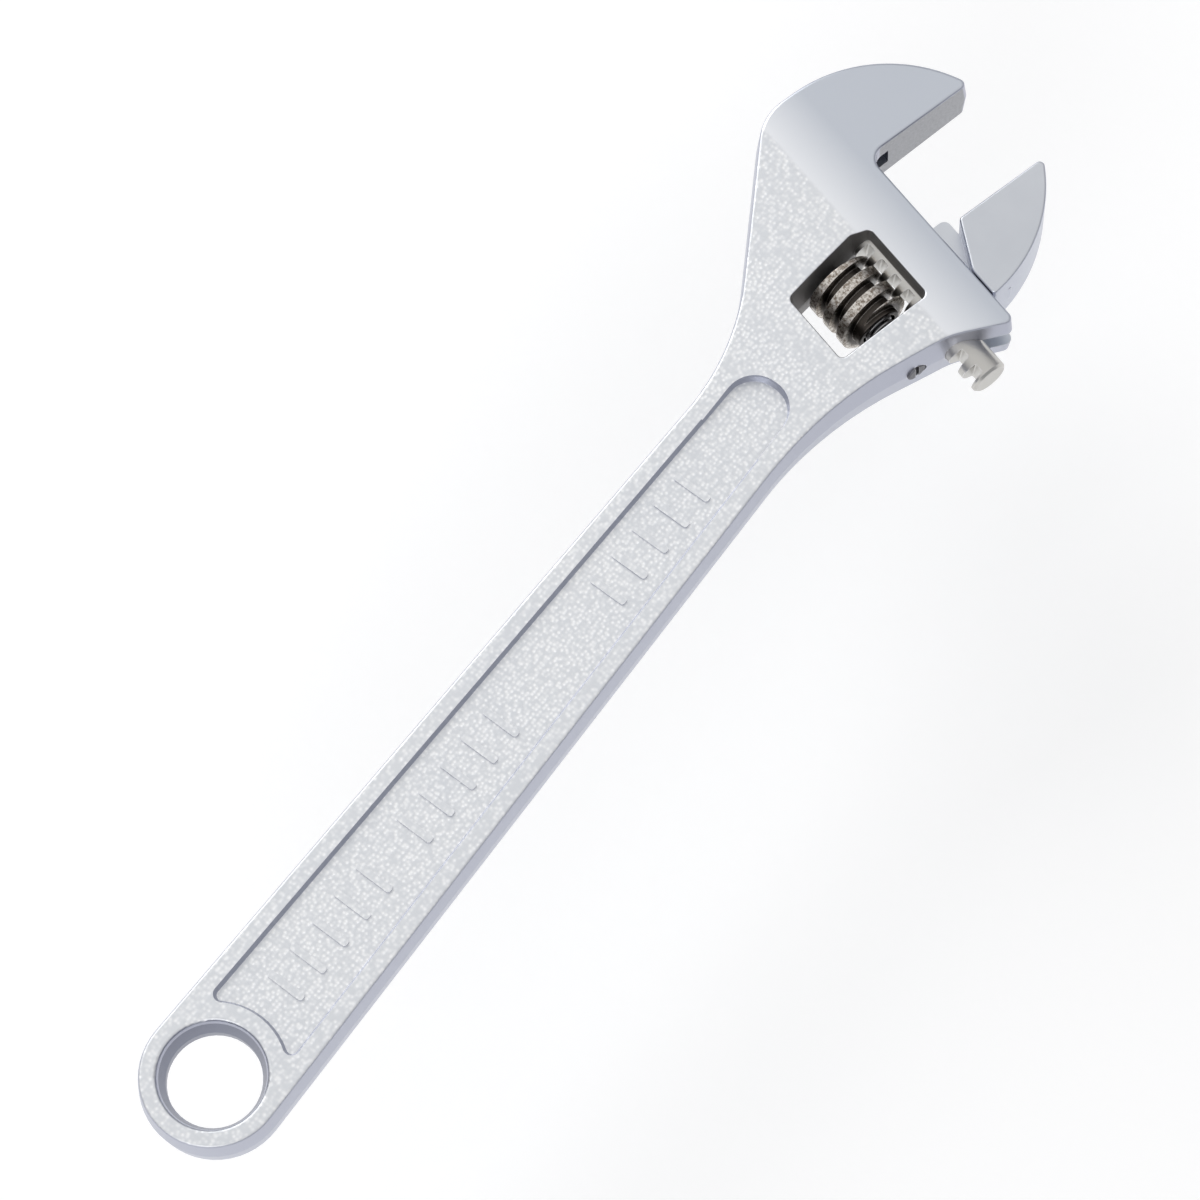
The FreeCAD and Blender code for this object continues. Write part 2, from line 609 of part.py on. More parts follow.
# Hole for the worm pin: narrow through both walls, wider where the pin's head sits.
pin_hole = new_sketch(half, "pin_hole", "YZ_Plane", cross_plane("0 - %s - fit_play" % PIN_LEFT))
circle_at(pin_hole, "worm_up", "0", "pin_radius + fit_play")
pocket(half, pin_hole, PIN_LEFT + " + reach / 2", reverse=True)
head_hole = new_sketch(half, "head_hole", "YZ_Plane", cross_plane(PIN_STEP))
circle_at(head_hole, "worm_up", "0", PIN_HEAD + " + fit_play")
pocket(half, head_hole, "reach / 2", reverse=True)

mirrored = doc.addObject("Part::Mirroring", "mirrored_half")
mirrored.Source = half
mirrored.Normal = Vector(0, 0, 1)
forged_body = doc.addObject("Part::MultiFuse", "forged_body")
forged_body.Label = "forged_body"
forged_body.Shapes = [half, mirrored]
forged_body.Refine = True
doc.recompute()

# ---------------------------------------------------------------- movable jaw
# Jaw block, web and rack rod are one forging. x is along the slide, y is up the jaws.

jaw = new_body("movable_jaw")
SEAT = "(%s + slide_play)" % SLIDE_UP
block = new_sketch(jaw, "block", "XY_Plane")
rounded_outline(block, [
    (FACE, SEAT + " + jaw_foot_up", "jaw_corner"),
    (FACE, JAW_TIP, "jaw_tip_radius"),
    (FACE + " + jaw_shoulder", JAW_TIP + " - jaw_shoulder_drop", "jaw_back_radius"),
    (FACE + " + jaw_base", SEAT, "jaw_corner"),
    (FACE + " + jaw_foot", SEAT, "jaw_foot_radius"),
])
pad(jaw, block, "2 * jaw_half", midplane=True)

cheeks = new_sketch(jaw, "cheeks", "YZ_Plane")
for face in ("1", "0 - 1"):
    rounded_outline(cheeks, [
        (SLIDE_UP, "jaw_half * (%s)" % face, None),
        (JAW_TIP, "jaw_top_half * (%s)" % face, None),
        (JAW_TIP + " + reach", "jaw_top_half * (%s)" % face, None),
        (JAW_TIP + " + reach", "reach * (%s)" % face, None),
        (SLIDE_UP, "reach * (%s)" % face, None),
    ])
pocket(jaw, cheeks, "2 * reach", midplane=True)


def on_jaw_back(edge):
    """The two edges between the rounded back and the cheeks."""
    spot = edge.valueAt((edge.FirstParameter + edge.LastParameter) / 2)
    off_mid = abs(spot.z) > size("jaw_top_half") - 0.05
    behind = spot.x > value_of(FACE + " + jaw_shoulder / 2")
    return off_mid and behind and edge.Length > size("jaw_height") / 2


soften(jaw, "Fillet", "jaw_edge_round", on_jaw_back)

web = new_sketch(jaw, "web", "XY_Plane")
rounded_outline(web, [
    (FACE + " - web_shoulder", ROD_UP, None),
    (FACE + " - web_shoulder", SLIDE_UP + " + web_shoulder_up", "web_corner"),
    (FACE + " + jaw_foot_up", SLIDE_UP + " + web_shoulder_up", None),
    (FACE + " + jaw_base - edge_round", SLIDE_UP + " + jaw_foot_up", None),
    (FACE + " + jaw_base - edge_round", SLIDE_UP, "web_corner"),
    (FACE + " + web_right", ROD_UP, None),
])
pad(jaw, web, "2 * web_half", midplane=True)

rod = new_sketch(jaw, "rod", "YZ_Plane", {"axis": (0, 1, 0), "Base.z": "0 - rod_left"})
circle_at(rod, ROD_UP, "0", "rod_radius")
pad(jaw, rod, "rod_left + " + ROD_RIGHT)


def on_rod_end(edge):
    spot = edge.valueAt(edge.FirstParameter)
    at_end = min(abs(spot.x + size("rod_left")), abs(spot.x - value_of(ROD_RIGHT))) < SAME_PLACE
    return at_end and edge.Closed


soften(jaw, "Chamfer", "rod_chamfer", on_rod_end)

# Rack: gaps under the rod, slanted like the thread of the worm that runs in them.
GAP_HALF = (
    "thread_crest / 2 + flank_play"
    " + thread_flank * (worm_radius - (%s - worm_up)) / thread_depth"
)
GAPS_LEFT = "floor((rod_left + thread_phase - thread_crest / 2 - rack_end) / thread_pitch)"
GAPS_RIGHT = (
    "floor((%s - thread_phase - thread_crest / 2 - rack_end) / thread_pitch)" % ROD_RIGHT
)
FIRST_GAP = "thread_phase - thread_pitch * " + GAPS_LEFT
GAP_DEPTH = "(thread_bite + rack_root_play)"
gap = new_sketch(jaw, "gap", "XY_Plane", {
    "axis": (0, 1, 0),
    "Base.x": FIRST_GAP,
    "Rotation.Angle": "atan(thread_pitch / (2 * pi * (worm_radius - rack_slant_in)))",
})
mouth = GAP_HALF % ("(%s - 1)" % ROD_LOW)
floor = GAP_HALF % ("(%s + %s)" % (ROD_LOW, GAP_DEPTH))
rounded_outline(gap, [
    ("0 - (%s)" % mouth, ROD_LOW + " - 1", None),
    ("0 - (%s)" % floor, ROD_LOW + " + " + GAP_DEPTH, "rack_round"),
    (floor, ROD_LOW + " + " + GAP_DEPTH, "rack_round"),
    (mouth, ROD_LOW + " - 1", None),
])
first_gap = pocket(jaw, gap, "4 * rod_radius", midplane=True)
GAP_STEPS = "(%s + %s)" % (GAPS_LEFT, GAPS_RIGHT)
row_of(jaw, first_gap, (block, ["H_Axis"]), "thread_pitch * " + GAP_STEPS, GAP_STEPS + " + 1")
put_in_head(jaw)

# ---------------------------------------------------------------- worm
# x is the worm's axis. A single right-hand thread is cut into a plain blank.

worm = new_body("worm")
profile = new_sketch(worm, "worm_profile", "XY_Plane")
rounded_outline(profile, [
    (WORM_LEFT, "pin_radius + running_play", None),
    (WORM_LEFT, "worm_radius", "worm_round"),
    (WORM_RIGHT + " - worm_collar", "worm_radius", "worm_round"),
    (WORM_RIGHT + " - worm_collar", WORM_ROOT, None),
    (WORM_RIGHT, WORM_ROOT, "worm_round"),
    (WORM_RIGHT, SPRING_POCKET, None),
    (WORM_RIGHT + " - spring_pocket_depth", SPRING_POCKET, None),
    (WORM_RIGHT + " - spring_pocket_depth", "pin_radius + running_play", None),
])
turned = worm.newObject("PartDesign::Revolution", "worm_turned")
turned.Profile = profile
turned.ReferenceAxis = (profile, ["H_Axis"])
turned.Angle = 360
doc.recompute()

groove_profile = new_sketch(worm, "thread_groove", "XY_Plane")
GROOVE_PLACE = "thread_phase - thread_pitch * 3.5"
CREST_GAP = "(thread_pitch - thread_crest) / 2"
rounded_outline(groove_profile, [
    (GROOVE_PLACE + " - (%s) - thread_flank" % CREST_GAP, "worm_radius + thread_depth", None),
    (GROOVE_PLACE + " - (%s) + thread_flank" % CREST_GAP, WORM_ROOT, None),
    (GROOVE_PLACE + " + (%s) - thread_flank" % CREST_GAP, WORM_ROOT, None),
    (GROOVE_PLACE + " + (%s) + thread_flank" % CREST_GAP, "worm_radius + thread_depth", None),
])
thread = worm.newObject("PartDesign::SubtractiveHelix", "thread_cut")
thread.Profile = groove_profile
thread.ReferenceAxis = (groove_profile, ["H_Axis"])
thread.Mode = 0
bind(thread, "Pitch", "thread_pitch")
bind(thread, "Height", "worm_length + 3 * thread_pitch")
doc.recompute()
put_in_head(worm, "worm_up")

# ---------------------------------------------------------------- worm pin

pin = new_body("worm_pin")
pin_profile = new_sketch(pin, "pin_profile", "XY_Plane")
rounded_outline(pin_profile, [
    ("0 - " + PIN_LEFT, "0", None),
    ("0 - " + PIN_LEFT, "pin_radius", None),
    (PIN_STEP + " + fit_play", "pin_radius", None),
    (PIN_STEP + " + fit_play", PIN_HEAD, None),
    (PIN_END, PIN_HEAD, "pin_round"),
    (PIN_END, "0", None),
])
pin_turned = pin.newObject("PartDesign::Revolution", "pin_turned")
pin_turned.Profile = pin_profile
pin_turned.ReferenceAxis = (pin_profile, ["H_Axis"])
pin_turned.Angle = 360
doc.recompute()
screw_slot = new_sketch(pin, "screw_slot", "XY_Plane")
rounded_outline(screw_slot, [
    (PIN_END + " - pin_slot_depth", "0 - pin_slot_width / 2", None),
    (PIN_END + " - pin_slot_depth", "pin_slot_width / 2", None),
    (PIN_END + " + reach", "pin_slot_width / 2", None),
    (PIN_END + " + reach", "0 - pin_slot_width / 2", None),
])
pocket(pin, screw_slot, "4 * " + PIN_HEAD, midplane=True)
put_in_head(pin, "worm_up")

# ---------------------------------------------------------------- worm spring

spring = new_body("worm_spring")
SPRING_LEFT = WORM_RIGHT + " - spring_pocket_depth + spring_play + spring_wire"
SPRING_RIGHT = WINDOW_RIGHT + " - spring_play - spring_wire"
wire = new_sketch(spring, "wire", "XY_Plane")
circle_at(wire, SPRING_LEFT, SPRING_RADIUS, "spring_wire")
coil = spring.newObject("PartDesign::AdditiveHelix", "coil")
coil.Profile = wire
coil.ReferenceAxis = (wire, ["H_Axis"])
coil.Mode = 2
bind(coil, "Height", "(%s) - (%s)" % (SPRING_RIGHT, SPRING_LEFT))
bind(coil, "Turns", "spring_turns")
doc.recompute()
put_in_head(spring, "worm_up")
doc.recompute()

# ---------------------------------------------------------------- checks and files

for item in doc.Objects:
    if "Invalid" in item.State or "Error" in item.State:
        raise ValueError("%s failed: %s" % (item.Name, item.getStatusString()))

os.makedirs("parts", exist_ok=True)
for part in (forged_body, jaw, worm, pin, spring):
    shape = part.Shape
    if shape.isNull() or not shape.isValid():
        raise ValueError(part.Label + " has no valid shape")
    print(part.Label, len(shape.Solids), "solid", round(shape.Volume, 1), "mm3", shape.BoundBox)
    shape.exportStep("parts/%s.step" % part.Label)
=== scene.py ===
# %% [markdown]
# # An adjustable wrench in satin chrome
# The wrench is one drop forging with a sliding jaw, a thumb worm, its pin and a small
# spring. Every piece comes from the engineering model, already at its real size and in
# its real place. This lesson gives each surface the finish that its making left on it.

# %% Load the frame
import json

import bpy
from mathutils import Matrix, Vector


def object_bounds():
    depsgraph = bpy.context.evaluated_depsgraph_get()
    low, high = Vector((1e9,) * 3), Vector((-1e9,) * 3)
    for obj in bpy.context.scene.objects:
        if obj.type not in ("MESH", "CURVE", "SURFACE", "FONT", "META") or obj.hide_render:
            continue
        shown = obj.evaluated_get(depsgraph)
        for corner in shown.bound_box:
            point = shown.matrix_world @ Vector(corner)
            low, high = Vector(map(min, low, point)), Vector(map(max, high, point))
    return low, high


MM = 0.001
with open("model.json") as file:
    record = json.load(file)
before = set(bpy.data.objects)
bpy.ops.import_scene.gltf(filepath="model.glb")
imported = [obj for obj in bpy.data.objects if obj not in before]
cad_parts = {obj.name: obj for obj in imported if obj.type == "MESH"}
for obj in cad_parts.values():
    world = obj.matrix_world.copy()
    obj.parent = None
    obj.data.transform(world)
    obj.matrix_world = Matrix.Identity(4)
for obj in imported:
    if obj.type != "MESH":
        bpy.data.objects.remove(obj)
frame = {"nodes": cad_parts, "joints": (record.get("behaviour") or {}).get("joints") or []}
nodes = frame["nodes"]
cad_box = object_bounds()
print("pieces:", sorted(nodes))

# %% [markdown]
# ## The camera
# A long lens, about 150 mm on full frame, keeps the far end of the handle nearly as
# large as the head. The camera stands to the lower right of the wrench and looks down
# on its face, so the sides that face the lower right can be seen.

# %% Camera
LENS = 150.0
SENSOR = 36.0
camera_place = Vector((219.5, -106.1, 882.2)) * MM
camera_ahead = Vector((-0.23572, 0.23661, -0.94258))
camera_up = Vector((-0.56855, 0.75303, 0.33121))

camera_data = bpy.data.cameras.new("camera")
camera_data.lens = LENS
camera_data.sensor_width = SENSOR
camera = bpy.data.objects.new("camera", camera_data)
bpy.context.scene.collection.objects.link(camera)
back = -camera_ahead.normalized()
right = camera_up.cross(back).normalized()
up = back.cross(right)
turn = Matrix((right, up, back)).transposed()
camera.matrix_world = Matrix.Translation(camera_place) @ turn.to_4x4()
bpy.context.scene.camera = camera
print("camera", [round(value, 3) for value in camera_place])

# %% [markdown]
# ## Colours
# Paint charts and screens give colours in sRGB, but light adds up in linear values, so
# one function turns each hex colour into the linear colour that a shader wants.

# %% Linear colour
def linear(hex_colour):
    """Linear RGBA of an sRGB colour such as "C8CACD"."""
    parts = [int(hex_colour[k:k + 2], 16) / 255 for k in (0, 2, 4)]
    done = [c / 12.92 if c <= 0.04045 else ((c + 0.055) / 1.055) ** 2.4 for c in parts]
    return (*done, 1.0)


# %% [markdown]
# ## A helper for node trees
# A material is a small graph. One function adds any node, sets its settings and makes
# its links, so that each material below reads as a list of its layers.

# %% Node helper
def new_material(name):
    material = bpy.data.materials.new(name)
    material.use_nodes = True
    material.node_tree.nodes.clear()
    return material


def add(material, kind, settings=None, **sockets):
    """Adds a node. settings are its properties; sockets are values or (node, output)."""
    node = material.node_tree.nodes.new(kind)
    for key, value in (settings or {}).items():
        setattr(node, key, value)
    for key, value in sockets.items():
        name = key.replace("_", " ")
        socket = node.inputs[int(key[5:])] if key.startswith("input") else node.inputs[name]
        if isinstance(value, tuple) and isinstance(value[0], bpy.types.Node):
            material.node_tree.links.new(value[0].outputs[value[1]], socket)
        else:
            socket.default_value = value
    return node


# %% Wear along edges
def edge_mask(material, width, strength):
    """1 on outer edges, 0 elsewhere: where the bevelled normal leaves the true one."""
    bevel = add(material, "ShaderNodeBevel", {"samples": 6}, Radius=width)
    true_normal = add(material, "ShaderNodeNewGeometry")
    dot = add(material, "ShaderNodeVectorMath", {"operation": "DOT_PRODUCT"},
              input0=(bevel, 0), input1=(true_normal, "Normal"))
    return add(material, "ShaderNodeMapRange", None,
               Value=(dot, "Value"), From_Min=1.0, From_Max=1.0 - strength)


# %% [markdown]
# ## Where things are on the wrench
# A finish often stops at a line of the real object: the blasted skin ends at a crease in
# the head, and the rod is bare steel below the sliding edge. Those lines run along or
# square to the jaw's slide, so two directions from the joints are enough to find them.

# %% Directions and lines of the head
joints = {joint["name"]: joint for joint in frame["joints"]}
slide = Vector(joints["jaw_slide"]["axis"])
jaw_up = Vector((-slide.y, slide.x, 0.0))
worm_centre = Vector(joints["worm_spin"]["pos_m"])
worm_height = worm_centre.dot(jaw_up)

CREASE = worm_height + 6.8 * MM          # end of the flat cheek, above the worm's axis
SLIDING_EDGE = worm_height + 19.4 * MM   # underside of the movable jaw
CREASE_BLEND = 0.8 * MM                  # the blasted skin fades out over this height
# Next line: the painted highlight along the crease fades to the cheek's grey over this height.
CHEEK_HIGHLIGHT_FADE = 11 * MM                     # the bright cheek grows darker over this height
SEAM = 0.1 * MM                          # half the width of the line between plating and steel
WINDOW_REACH = 16.2 * MM                 # everything steep nearer than this is a window wall
HOLE_REACH = 10.6 * MM                   # everything steep nearer than this is the hole's wall
print("crease at", round(CREASE / MM, 1), "mm, sliding edge at", round(SLIDING_EDGE / MM, 1), "mm")

# %% [markdown]
# ## Satin chrome on a drop forging
# The handle is forged, shot-blasted, and plated with nickel and chromium. Blasting leaves
# dimples under a millimetre across, and the thin plating copies them, so the metal looks
# frosted and very light. The dimples' colour is lighter in the middle and greyer at the rim:
# painted shade that makes the stipple show. The sides are ground before plating: smoother and
# a little more violet, because chromium reflects slightly more blue. Their colour is also
# darker than the face: painted shade for their dimmer reflection. The walls inside the worm
# window and the hanging hole are coloured dark: painted shade of the recesses. The smooth
# cheek beyond the crease is coloured near white at the crease and greyer further on: a
# painted highlight. The contact face is milled back to grey steel. One
# material with masks keeps these skins in register with the forging's real edges.

# %% Sizes of the forging's skin
DIMPLE = 0.85 * MM       # shot-blast dimples, drawn slightly coarser than the real 0.5 mm
DIMPLE_DEPTH = 0.05 * MM
PATCH = 14 * MM          # slow changes of tone from hand polishing
GRIND = 0.35 * MM        # grinding lines on the sides
EDGE = 0.35 * MM         # width of the bright line where plating is rubbed on an edge
MILLING = 0.6 * MM       # feed marks of the cutter across the contact faces


def skin_masks(material):
    """Masks that several finishes share: where a face is level, and where it is."""
    coords = add(material, "ShaderNodeTexCoord")
    facing = add(material, "ShaderNodeSeparateXYZ", None, Vector=(coords, "Normal"))
    tilt = add(material, "ShaderNodeMath", {"operation": "ABSOLUTE"}, input0=(facing, "Z"))
    steep = add(material, "ShaderNodeMapRange", {"interpolation_type": "SMOOTHSTEP"},
                Value=(tilt, 0), From_Min=0.92, From_Max=0.55)
    height = add(material, "ShaderNodeVectorMath", {"operation": "DOT_PRODUCT"},
                 input0=(coords, "Object"), input1=jaw_up)
    return coords, steep, height


def satin_chrome_forging():
    material = new_material("satin_chrome_on_blasted_forging")
    coords, steep, height = skin_masks(material)
    patches = add(material, "ShaderNodeTexNoise", None,
                  Vector=(coords, "Object"), Scale=1 / PATCH, Detail=3.0)
    dimples = add(material, "ShaderNodeTexVoronoi", {"feature": "SMOOTH_F1"},
                  Vector=(coords, "Object"), Scale=1 / DIMPLE, Randomness=0.55)
    dimple_depth_and_shade = add(material, "ShaderNodeMapRange", {"interpolation_type": "SMOOTHSTEP"},
                      Value=(dimples, "Distance"), From_Min=0.05, From_Max=0.60)
    beyond = add(material, "ShaderNodeMapRange", {"interpolation_type": "SMOOTHSTEP"},
                 Value=(height, "Value"), From_Min=CREASE - CREASE_BLEND / 2,
                 From_Max=CREASE + CREASE_BLEND)
    cheek_highlight_fade = add(material, "ShaderNodeMapRange", None,
                     Value=(height, "Value"), From_Min=CREASE, From_Max=CREASE + CHEEK_HIGHLIGHT_FADE)
    from_window = add(material, "ShaderNodeVectorMath", {"operation": "DISTANCE"},
                      input0=(coords, "Object"), input1=worm_centre)
    near_window = add(material, "ShaderNodeMath", {"operation": "LESS_THAN"},
                      input0=(from_window, "Value"), input1=WINDOW_REACH)
    window_wall = add(material, "ShaderNodeMath", {"operation": "MULTIPLY"},
                      input0=(near_window, 0), input1=(steep, 0))
    from_hole = add(material, "ShaderNodeVectorMath", {"operation": "LENGTH"},
                    input0=(coords, "Object"))
    near_hole = add(material, "ShaderNodeMath", {"operation": "LESS_THAN"},
                    input0=(from_hole, "Value"), input1=HOLE_REACH)
    hole_wall = add(material, "ShaderNodeMath", {"operation": "MULTIPLY"},
                    input0=(near_hole, 0), input1=(steep, 0))

    # Colour: frosted face, then the smooth cheek beyond the crease with its painted highlight,
    # then the sides with painted shade.
    # Dimple colour is lighter in the middle and greyer at the rim: painted shade that makes the
    # stipple show; the same mask also gives the dimples' bump depth.
    frosted = add(material, "ShaderNodeMix", {"data_type": "RGBA"}, input0=(dimple_depth_and_shade, 0),
                  input6=linear("FFFFFF"), input7=linear("E3E5E8"))
    toned = add(material, "ShaderNodeMix", {"data_type": "RGBA", "blend_type": "MULTIPLY"},
                input0=(patches, "Fac"), input6=(frosted, 2), input7=linear("F4F5F7"))
    # The cheek's colour is near white at the crease and greyer further on: a painted highlight
    # along the crease.
    cheek = add(material, "ShaderNodeMix", {"data_type": "RGBA"}, input0=(cheek_highlight_fade, 0),
                input6=linear("F6F8FC"), input7=linear("CDD2DB"))
    face = add(material, "ShaderNodeMix", {"data_type": "RGBA"}, input0=(beyond, 0),
               input6=(toned, 2), input7=(cheek, 2))
    # Steep sides: chromium's slight violet tint, plus a colour darker than the face as painted
    # shade for their dimmer reflection.
    sides_tint_and_painted_shade = add(material, "ShaderNodeMix", {"data_type": "RGBA"}, input0=(steep, 0),
                input6=(face, 2), input7=linear("B6B9C6"))
    # Window walls and hole walls are coloured dark: painted shade of the recesses.
    window_walls_painted_shade = add(material, "ShaderNodeMix", {"data_type": "RGBA"}, input0=(window_wall, 0),
                input6=(sides_tint_and_painted_shade, 2), input7=linear("8C8A8A"))
    hole_walls_painted_shade = add(material, "ShaderNodeMix", {"data_type": "RGBA"}, input0=(hole_wall, 0),
                input6=(window_walls_painted_shade, 2), input7=linear("8A8D9A"))
    worn = edge_mask(material, EDGE, 0.5)
    colour = add(material, "ShaderNodeMix", {"data_type": "RGBA"}, input0=(worn, 0),
                 input6=(hole_walls_painted_shade, 2), input7=linear("ECEDF0"))

    # The contact face of the fixed jaw is milled after plating, so it shows rough grey steel.
    towards_jaw = add(material, "ShaderNodeVectorMath", {"operation": "DOT_PRODUCT"},
                      input0=(coords, "Normal"), input1=slide)
    flat_on = add(material, "ShaderNodeMapRange", None,
                  Value=(towards_jaw, "Value"), From_Min=0.97, From_Max=0.995)
    above_edge = add(material, "ShaderNodeMath", {"operation": "GREATER_THAN"},
                     input0=(height, "Value"), input1=SLIDING_EDGE)
    contact = add(material, "ShaderNodeMath", {"operation": "MULTIPLY"},
                  input0=(flat_on, 0), input1=(above_edge, 0))
    scale_marks = add(material, "ShaderNodeTexNoise", None, Vector=(coords, "Object"),
                      Scale=1 / MILLING, Detail=4.0, Roughness=0.7)
    milled = add(material, "ShaderNodeMix", {"data_type": "RGBA"},
                 input0=(scale_marks, "Fac"), input6=linear("77787C"), input7=linear("B4B5BA"))
    finished = add(material, "ShaderNodeMix", {"data_type": "RGBA"}, input0=(contact, 0),
                   input6=(colour, 2), input7=(milled, 2))

    # Roughness: frosted from 0.43, smooth cheek and sides from 0.30, window walls 0.25 more.
    smooth = add(material, "ShaderNodeMath", {"operation": "MAXIMUM"},
                 input0=(beyond, 0), input1=(steep, 0))
    satin = add(material, "ShaderNodeMapRange", None,
                Value=(smooth, 0), To_Min=0.43, To_Max=0.30)
    patchy = add(material, "ShaderNodeMath", {"operation": "MULTIPLY_ADD"},
                 input0=(patches, "Fac"), input1=0.08, input2=(satin, 0))
    roughness = add(material, "ShaderNodeMath", {"operation": "MULTIPLY_ADD"},
                    input0=(window_wall, 0), input1=0.25, input2=(patchy, 0))

    # Relief: dimples on the frosted faces, grinding lines on the sides.
    frost = add(material, "ShaderNodeMath", {"operation": "SUBTRACT"}, input0=1.0,
                input1=(smooth, 0))
    depth = add(material, "ShaderNodeMath", {"operation": "MULTIPLY"},
                input0=(dimple_depth_and_shade, 0), input1=(frost, 0))
    blasted = add(material, "ShaderNodeBump", None, Height=(depth, 0), Strength=0.7,
                  Distance=DIMPLE_DEPTH)
    stretched = add(material, "ShaderNodeVectorMath", {"operation": "MULTIPLY"},
                    input0=(coords, "Object"), input1=(0.12, 0.12, 1.0))
    lines = add(material, "ShaderNodeTexNoise", None,
                Vector=(stretched, "Vector"), Scale=1 / GRIND, Detail=2.0)
    ground = add(material, "ShaderNodeMath", {"operation": "MULTIPLY"},
                 input0=(lines, "Fac"), input1=(steep, 0))
    relief = add(material, "ShaderNodeBump", None, Height=(ground, 0), Strength=0.35,
                 Distance=DIMPLE_DEPTH / 2, Normal=(blasted, 0))
    shader = add(material, "ShaderNodeBsdfPrincipled", None, Base_Color=(finished, 2),
                 Metallic=1.0, Roughness=(roughness, 0), Normal=(relief, 0))
    add(material, "ShaderNodeOutputMaterial", None, Surface=(shader, 0))
    return material


# %% [markdown]
# ## The movable jaw: smooth satin chrome above, bare steel below
# The jaw's cheeks are belt-polished before plating. Its contact face is milled and
# unplated, and below the sliding edge the web and the rack rod are machined steel with a
# film of oil. The height above the sliding edge separates the two.

# %% Movable jaw
def satin_chrome_jaw():
    material = new_material("satin_chrome_and_machined_steel")
    coords, steep, height = skin_masks(material)
    patches = add(material, "ShaderNodeTexNoise", None,
                  Vector=(coords, "Object"), Scale=1 / PATCH, Detail=3.0)
    bare = add(material, "ShaderNodeMapRange", None, Value=(height, "Value"),
               From_Min=SLIDING_EDGE + SEAM, From_Max=SLIDING_EDGE - SEAM)
    along = add(material, "ShaderNodeVectorMath", {"operation": "DOT_PRODUCT"},
                input0=(coords, "Normal"), input1=-slide)
    contact = add(material, "ShaderNodeMapRange", None,
                  Value=(along, "Value"), From_Min=0.97, From_Max=0.995)
    cheek = add(material, "ShaderNodeMix", {"data_type": "RGBA"}, input0=(patches, "Fac"),
                input6=linear("C8CCD4"), input7=linear("DFE2E7"))
    # Steep sides: chromium's slight violet tint, plus a colour darker than the cheek as painted
    # shade for their dimmer reflection.
    sides_tint_and_painted_shade = add(material, "ShaderNodeMix", {"data_type": "RGBA"}, input0=(steep, 0),
                input6=(cheek, 2), input7=linear("BCC0CC"))
    milled = add(material, "ShaderNodeMix", {"data_type": "RGBA"}, input0=(contact, 0),
                 input6=(sides_tint_and_painted_shade, 2), input7=linear("8F9092"))
    steel = add(material, "ShaderNodeMix", {"data_type": "RGBA"}, input0=(bare, 0),
                input6=(milled, 2), input7=linear("C9C7C3"))
    worn = edge_mask(material, EDGE, 0.5)
    colour = add(material, "ShaderNodeMix", {"data_type": "RGBA"}, input0=(worn, 0),
                 input6=(steel, 2), input7=linear("ECEDF0"))
    rougher = add(material, "ShaderNodeMath", {"operation": "MULTIPLY_ADD"},
                  input0=(contact, 0), input1=0.22, input2=0.27)
    roughness = add(material, "ShaderNodeMath", {"operation": "MULTIPLY_ADD"},
                    input0=(patches, "Fac"), input1=0.10, input2=(rougher, 0))
    stretched = add(material, "ShaderNodeVectorMath", {"operation": "MULTIPLY"},
                    input0=(coords, "Object"), input1=(1.0, 1.0, 0.08))
    marks = add(material, "ShaderNodeTexNoise", None,
                Vector=(stretched, "Vector"), Scale=1 / MILLING, Detail=2.0)
    cut = add(material, "ShaderNodeMath", {"operation": "MAXIMUM"},
              input0=(bare, 0), input1=(contact, 0))
    depth = add(material, "ShaderNodeMath", {"operation": "MULTIPLY"},
                input0=(marks, "Fac"), input1=(cut, 0))
    relief = add(material, "ShaderNodeBump", None, Height=(depth, 0), Strength=0.6,
                 Distance=DIMPLE_DEPTH)
    shader = add(material, "ShaderNodeBsdfPrincipled", None, Base_Color=(colour, 2),
                 Metallic=1.0, Roughness=(roughness, 0), Normal=(relief, 0))
    add(material, "ShaderNodeOutputMaterial", None, Surface=(shader, 0))
    return material


# %% [markdown]
# ## The worm: turned steel, oiled and handled
# The worm is cut from bar, left unplated, and browned by oil. Thumbs polish its crests in
# specks. The thread's grooves are coloured dark: painted shade, where the grooves lie in
# shadow. The distance from the worm's own axis tells crest from groove, so the mask turns with the
# worm.

# %% Worm, pin and spring
CREST = 6.8 * MM         # the crests lie beyond this distance from the worm's axis
GROOVE = 5.6 * MM        # the grooves lie within this distance
SPECK = 0.7 * MM         # specks of oil film on the crests


